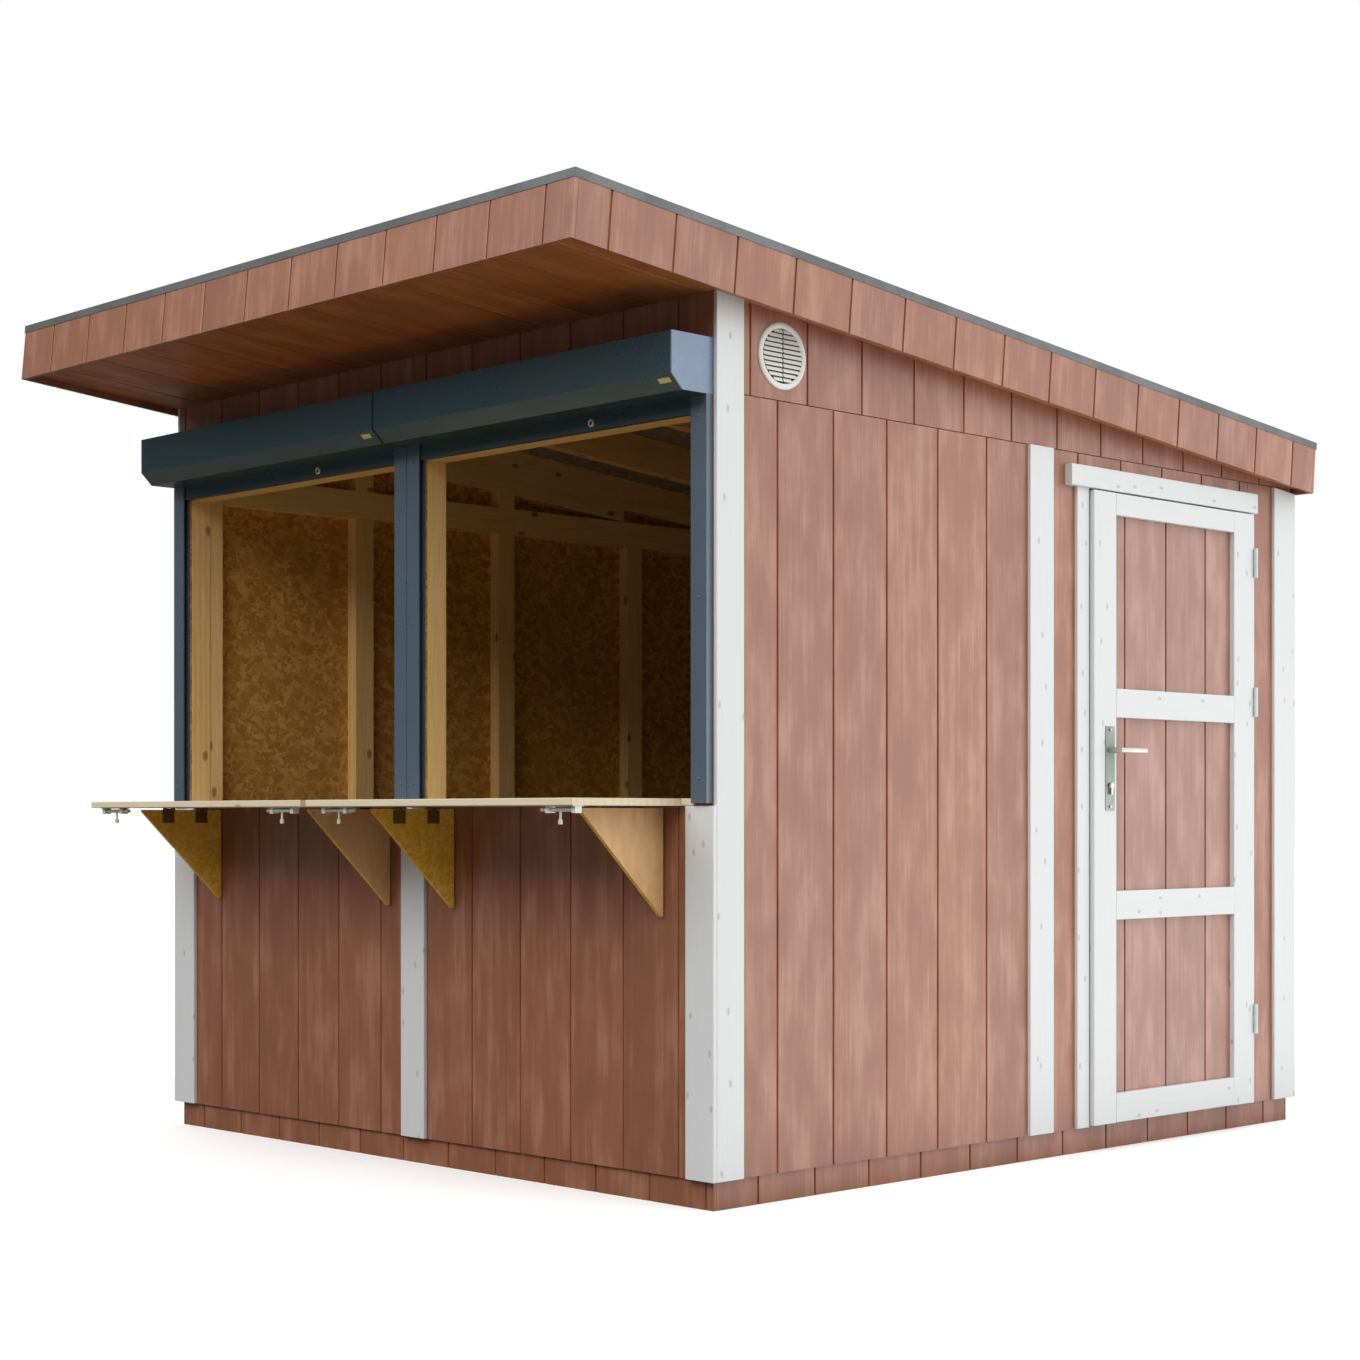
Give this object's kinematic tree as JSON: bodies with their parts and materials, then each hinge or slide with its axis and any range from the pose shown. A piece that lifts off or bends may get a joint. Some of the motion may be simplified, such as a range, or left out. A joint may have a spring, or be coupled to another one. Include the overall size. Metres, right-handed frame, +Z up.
{
  "type": "market hut",
  "caption": "Wooden sales hut with serving hatches under rolled-up shutters, folding shelf brackets, louvred vent, hinged side door and a shallow lean-to roof.",
  "frame": {"origin": "centre of the rectangular base, on the ground", "axes": "+Z up, -Y out of the serving hatches, +X out of the wall with the door, +Y to the back"},
  "size_m": [2.5115, 3.0914, 2.4226],
  "materials": {
    "grooved_sheet": "grooved boards under a brown glaze, satin",
    "fascia_sheet": "grooved boards under a brown glaze, satin",
    "white_board": "white paint on knotty boards, satin",
    "framing_timber": "bare planed softwood, matte",
    "floor_board": "bare flake board, matte",
    "flake_board": "flake board one side, smooth the other, matte",
    "shelf_timber": "bare softwood, matte",
    "roofing": "matte membrane",
    "edge_metal": "grey coated sheet, satin",
    "shutter_metal": "dark blue-grey coating, satin",
    "end_plate_metal": "pale blue-grey coating, satin",
    "rail_metal": "blue-grey coating, satin",
    "lock_metal": "satin",
    "hinge_metal": "dull zinc",
    "bolt_metal": "bright zinc, satin",
    "handle_metal": "satin anodised",
    "vent_plastic": "off-white moulding, satin"
  },
  "bodies": {
    "hut": {"floor_joists": "framing_timber", "floor_deck": "floor_board", "plinth_boards": "grooved_sheet", "front_wall": "grooved_sheet", "left_wall": "grooved_sheet", "back_wall": "grooved_sheet", "right_wall": "grooved_sheet", "gable_sheets": "grooved_sheet", "front_wall_frame": "framing_timber", "left_wall_frame": "framing_timber", "right_wall_frame": "framing_timber", "back_wall_frame": "framing_timber", "rafters": "framing_timber", "roof_deck": "floor_board", "roofing": "roofing", "roof_edge_metal": "edge_metal", "fascia_boards": "fascia_sheet", "soffit": "fascia_sheet", "corner_boards": "white_board", "joint_battens": "white_board", "shutter_boxes": "shutter_metal", "shutter_end_plates": "end_plate_metal", "shutter_rails": "rail_metal", "shutter_end_slats": "shutter_metal", "shutter_locks": "lock_metal", "hatch_sills": "shelf_timber", "counter_shelf_left": "shelf_timber", "counter_shelf_right": "shelf_timber", "shelf_hinge_plates": "hinge_metal", "bolt_straps": "bolt_metal", "door_jambs": "white_board", "door_head_board": "white_board", "door_frame_hinges": "hinge_metal", "vent_grille": "vent_plastic"},
    "door": {"door_panel": "grooved_sheet", "door_boards": "white_board", "door_leaf_hinges": "hinge_metal", "door_handle_plates": "handle_metal"},
    "lever": {"door_lever": "lock_metal"},
    "bracket_1": {"shelf_bracket_1": "flake_board", "bracket_hinge_1": "hinge_metal"},
    "bolt_1": {"slide_bolt_1": "bolt_metal"},
    "bracket_2": {"shelf_bracket_2": "flake_board", "bracket_hinge_2": "hinge_metal"},
    "bolt_2": {"slide_bolt_2": "bolt_metal"},
    "bracket_3": {"shelf_bracket_3": "flake_board", "bracket_hinge_3": "hinge_metal"},
    "bolt_3": {"slide_bolt_3": "bolt_metal"},
    "bracket_4": {"shelf_bracket_4": "flake_board", "bracket_hinge_4": "hinge_metal"},
    "bolt_4": {"slide_bolt_4": "bolt_metal"}
  },
  "joints": [
    {"name": "bracket_1_hinge", "type": "hinge", "parent": "hut", "child": "bracket_1", "pos_m": [-0.953, -1.3995, 0.98], "axis": [0, -1, 0], "range_deg": [0, 88]},
    {"name": "bracket_2_hinge", "type": "hinge", "parent": "hut", "child": "bracket_2", "pos_m": [-0.116, -1.3995, 0.98], "axis": [0, 1, 0], "range_deg": [0, 88]},
    {"name": "bracket_3_hinge", "type": "hinge", "parent": "hut", "child": "bracket_3", "pos_m": [0.194, -1.3995, 0.98], "axis": [0, -1, 0], "range_deg": [0, 88]},
    {"name": "bracket_4_hinge", "type": "hinge", "parent": "hut", "child": "bracket_4", "pos_m": [1.009, -1.3995, 0.98], "axis": [0, 1, 0], "range_deg": [0, 88]},
    {"name": "bolt_1_slide", "type": "slide", "parent": "hut", "child": "bolt_1", "axis": [-1, 0, 0], "range_m": [0, 0.025]},
    {"name": "bolt_2_slide", "type": "slide", "parent": "hut", "child": "bolt_2", "axis": [1, 0, 0], "range_m": [0, 0.025]},
    {"name": "bolt_3_slide", "type": "slide", "parent": "hut", "child": "bolt_3", "axis": [-1, 0, 0], "range_m": [0, 0.025]},
    {"name": "bolt_4_slide", "type": "slide", "parent": "hut", "child": "bolt_4", "axis": [1, 0, 0], "range_m": [0, 0.025]},
    {"name": "door_hinge", "type": "hinge", "parent": "hut", "child": "door", "pos_m": [1.232, 1.0265, 1], "axis": [0, 0, 1], "range_deg": [0, 170]},
    {"name": "lever_spindle", "type": "hinge", "parent": "door", "child": "lever", "pos_m": [1.225, 0.287, 1.149], "axis": [-1, 0, 0], "range_deg": [0, 45], "stiffness_Nm_per_rad": 0.6, "springref_deg": -20.05}
  ]
}
